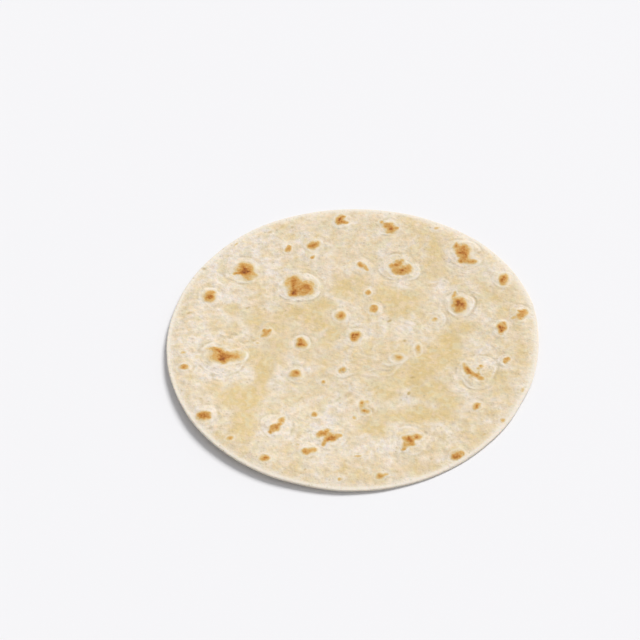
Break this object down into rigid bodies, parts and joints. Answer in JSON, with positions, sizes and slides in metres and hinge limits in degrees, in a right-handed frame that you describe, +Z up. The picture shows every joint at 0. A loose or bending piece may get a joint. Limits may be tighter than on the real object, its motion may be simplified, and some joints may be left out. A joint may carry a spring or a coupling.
{
  "type": "tortilla",
  "caption": "Round, thin wheat-flour tortilla with toasted blisters, lying flat with its rim slightly raised; a soft flatbread that is filled, folded or rolled.",
  "frame": {"origin": "the middle of the round, on the surface that the tortilla lies on", "axes": "+Z up, through the sheet's thickness; +X to the right and +Y away, as seen from the side where the higher rise of the rim is at the front left"},
  "size_m": [0.1992, 0.1998, 0.0058],
  "materials": {
    "baked_dough": "matte"
  },
  "bodies": {
    "root": {"tortilla": "baked_dough"}
  },
  "joints": []
}
